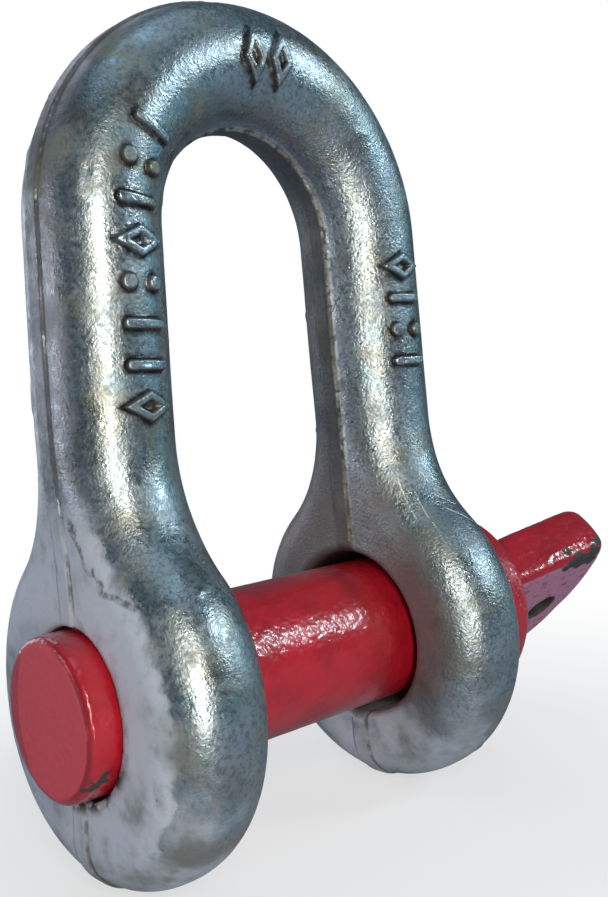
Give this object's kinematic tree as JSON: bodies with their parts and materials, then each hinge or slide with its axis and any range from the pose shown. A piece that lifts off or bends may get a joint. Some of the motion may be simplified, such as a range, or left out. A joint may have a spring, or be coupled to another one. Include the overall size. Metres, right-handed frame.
{
  "type": "screw pin shackle",
  "caption": "Dee-shaped lifting shackle: a forged galvanised body with two ears, closed by a removable red screw pin that ends in an eye tab.",
  "frame": {"origin": "on the pin's axis, midway between the inner faces of the two ears", "axes": "+X along the pin towards its eye tab, which is the way it is withdrawn; +Z from the pin to the crown; +Y across the ears"},
  "size_m": [0.1093, 0.0488, 0.1185],
  "materials": {
    "galvanised_steel": "hot-dip galvanised, grainy, satin",
    "red_paint": "gloss with orange peel, chipped at the edges"
  },
  "bodies": {
    "shackle_body": {"shackle_body": "galvanised_steel"},
    "screw_pin": {"screw_pin": "red_paint"}
  },
  "joints": [
    {"name": "pin_slide", "type": "slide", "parent": "shackle_body", "child": "screw_pin", "axis": [1, 0, 0], "range_m": [0, 0.08]}
  ]
}
